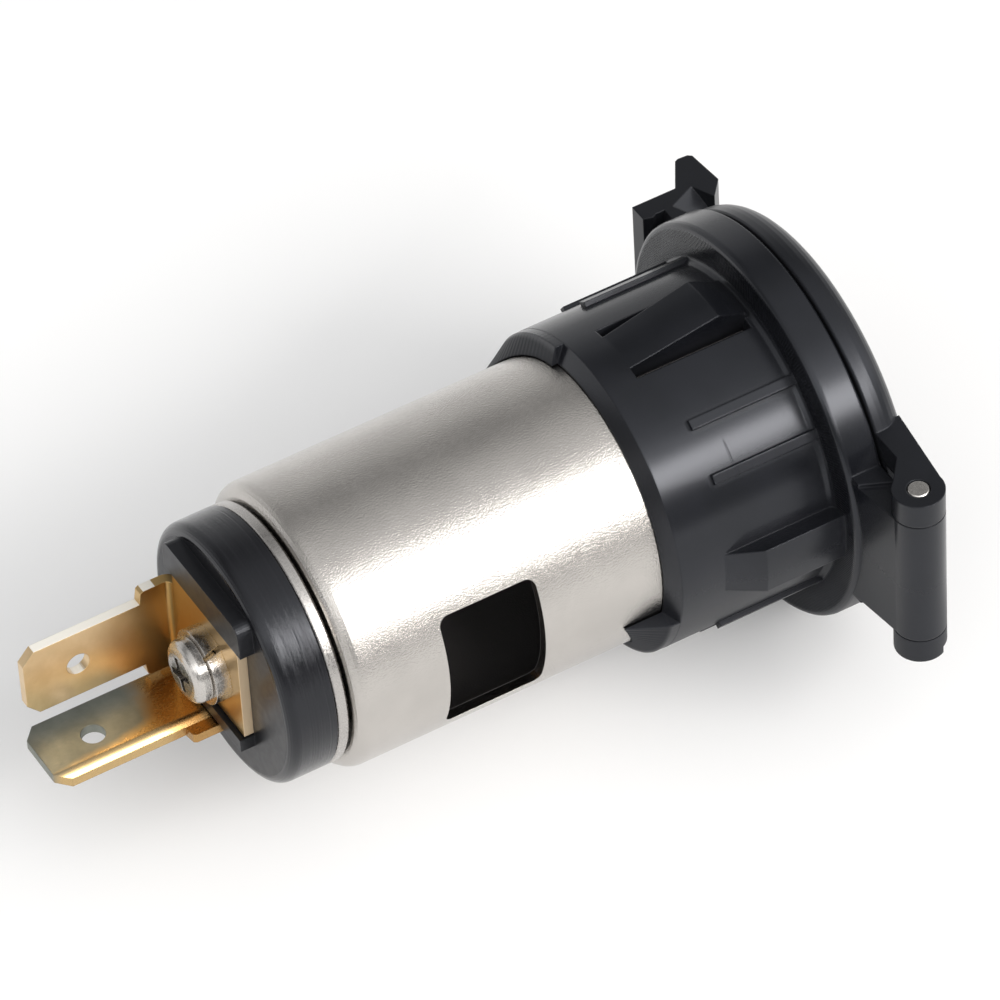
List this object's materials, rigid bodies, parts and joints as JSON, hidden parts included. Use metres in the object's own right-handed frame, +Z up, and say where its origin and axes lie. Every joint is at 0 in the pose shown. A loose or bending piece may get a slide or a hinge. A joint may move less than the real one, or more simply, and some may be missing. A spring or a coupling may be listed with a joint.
{
  "type": "accessory power socket",
  "caption": "Twelve-volt vehicle accessory socket: steel barrel in a panel bezel with a hinged dust cap and two rear blade terminals.",
  "frame": {"origin": "on the barrel's axis, in the rear face of the flange that seats on the panel", "axes": "+Y along the barrel into the panel towards the terminals, +Z up, -X towards the cap's hinge and +X towards its finger tab"},
  "size_m": [0.0426, 0.0676, 0.032],
  "materials": {
    "black_plastic": "semi-gloss moulded black plastic",
    "cap_plastic": "semi-gloss moulded black plastic",
    "insulator": "turned black phenolic, glossy",
    "fibre": "matt brown insulating board",
    "nickel_barrel": "satin nickel-plated steel",
    "nickel_small": "bright nickel-plated steel",
    "brass": "stamped brass with light wear",
    "dull_brass": "tarnished tin-washed brass"
  },
  "bodies": {
    "socket": {"bezel_housing": "black_plastic", "socket_shell": "nickel_barrel", "ground_ring": "nickel_barrel", "rear_insulator": "insulator", "positive_terminal": "brass", "ground_terminal": "dull_brass", "terminal_screw": "nickel_small", "lock_washer": "nickel_small", "inner_insulator": "fibre", "centre_contact": "brass"},
    "cap": {"lid": "cap_plastic", "hinge_pin": "nickel_small"}
  },
  "joints": [
    {"name": "lid_hinge", "type": "hinge", "parent": "socket", "child": "cap", "pos_m": [-0.02, -0.0029, 0], "axis": [0, 0, -1], "range_deg": [0, 110]}
  ]
}
